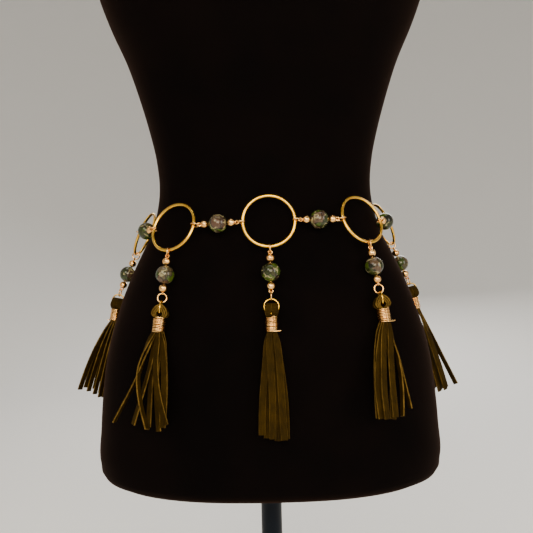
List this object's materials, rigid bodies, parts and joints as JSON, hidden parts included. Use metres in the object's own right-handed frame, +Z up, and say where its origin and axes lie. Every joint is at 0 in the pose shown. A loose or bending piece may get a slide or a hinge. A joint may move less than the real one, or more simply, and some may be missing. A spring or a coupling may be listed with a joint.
{
  "type": "beaded chain belt on dress form with stand",
  "caption": "Chain belt of large rings and stone bead links, with leather tassel drops that swing, worn round the hips of a limbless dress form on a pole stand.",
  "frame": {"origin": "middle of the underside of the stand's base", "axes": "+Z up along the pole, -Y towards the front of the form, +X to the viewer's right"},
  "size_m": [0.4134, 0.278, 0.968],
  "materials": {
    "gold_wire": "bright gold plate",
    "bead_gold": "bright pinkish gold plate",
    "jasper": "polished stone, dark green and brown with pale veins",
    "olive_leather": "dark olive flat lace with tan cut edges",
    "black_jersey": "matte black cover drawn tight",
    "stand_metal": "satin black"
  },
  "bodies": {
    "form_and_chain": {"dress_form": "black_jersey", "stand": "stand_metal", "ring_left_3": "gold_wire", "ring_left_2": "gold_wire", "ring_left_1": "gold_wire", "ring_front": "gold_wire", "ring_right_1": "gold_wire", "ring_right_2": "gold_wire", "ring_right_3": "gold_wire", "link_pin_right_1": "bead_gold", "link_pin_right_2": "bead_gold", "link_pin_right_3": "bead_gold", "link_pin_left_1": "bead_gold", "link_pin_left_2": "bead_gold", "link_pin_left_3": "bead_gold", "link_pin_back": "bead_gold", "link_jasper_right_1": "jasper", "link_jasper_right_2": "jasper", "link_jasper_right_3": "jasper", "link_jasper_left_1": "jasper", "link_jasper_left_2": "jasper", "link_jasper_left_3": "jasper", "link_jasper_back": "jasper", "lobster_clasp": "gold_wire", "extender_chain": "gold_wire"},
    "drop_left_3": {"drop_pin_left_3": "bead_gold", "drop_jasper_left_3": "jasper", "tassel_ring_left_3": "gold_wire", "tassel_wire_left_3": "bead_gold", "tassel_left_3": "olive_leather"},
    "drop_left_2": {"drop_pin_left_2": "bead_gold", "drop_jasper_left_2": "jasper", "tassel_ring_left_2": "gold_wire", "tassel_wire_left_2": "bead_gold", "tassel_left_2": "olive_leather"},
    "drop_left_1": {"drop_pin_left_1": "bead_gold", "drop_jasper_left_1": "jasper", "tassel_ring_left_1": "gold_wire", "tassel_wire_left_1": "bead_gold", "tassel_left_1": "olive_leather"},
    "drop_front": {"drop_pin_front": "bead_gold", "drop_jasper_front": "jasper", "tassel_ring_front": "gold_wire", "tassel_wire_front": "bead_gold", "tassel_front": "olive_leather"},
    "drop_right_1": {"drop_pin_right_1": "bead_gold", "drop_jasper_right_1": "jasper", "tassel_ring_right_1": "gold_wire", "tassel_wire_right_1": "bead_gold", "tassel_right_1": "olive_leather"},
    "drop_right_2": {"drop_pin_right_2": "bead_gold", "drop_jasper_right_2": "jasper", "tassel_ring_right_2": "gold_wire", "tassel_wire_right_2": "bead_gold", "tassel_right_2": "olive_leather"},
    "drop_right_3": {"drop_pin_right_3": "bead_gold", "drop_jasper_right_3": "jasper", "tassel_ring_right_3": "gold_wire", "tassel_wire_right_3": "bead_gold", "tassel_right_3": "olive_leather"}
  },
  "joints": [
    {"name": "drop_swing_left_3", "type": "hinge", "parent": "form_and_chain", "child": "drop_left_3", "pos_m": [-0.08807, 0.08128, 0.45123], "axis": [0.8762, 0.4811, 0.0276], "range_deg": [0, 75]},
    {"name": "drop_swing_left_2", "type": "hinge", "parent": "form_and_chain", "child": "drop_left_2", "pos_m": [-0.13959, 0.00075, 0.45073], "axis": [0.0068, 1, 0.0002], "range_deg": [0, 75]},
    {"name": "drop_swing_left_1", "type": "hinge", "parent": "form_and_chain", "child": "drop_left_1", "pos_m": [-0.09029, -0.08224, 0.45188], "axis": [-0.8702, 0.492, -0.0275], "range_deg": [0, 75]},
    {"name": "drop_swing_front", "type": "hinge", "parent": "form_and_chain", "child": "drop_front", "pos_m": [0.00347, -0.09802, 0.45293], "axis": [-0.9997, -0.0136, -0.0217], "range_deg": [0, 75]},
    {"name": "drop_swing_right_1", "type": "hinge", "parent": "form_and_chain", "child": "drop_right_1", "pos_m": [0.09607, -0.07738, 0.45573], "axis": [-0.8317, -0.5552, -0.0099], "range_deg": [0, 75]},
    {"name": "drop_swing_right_2", "type": "hinge", "parent": "form_and_chain", "child": "drop_right_2", "pos_m": [0.13713, 0.00917, 0.45643], "axis": [0.0839, -0.9965, 0.0007], "range_deg": [0, 75]},
    {"name": "drop_swing_right_3", "type": "hinge", "parent": "form_and_chain", "child": "drop_right_3", "pos_m": [0.07968, 0.08472, 0.45486], "axis": [0.9075, -0.4199, 0.0123], "range_deg": [0, 75]}
  ]
}
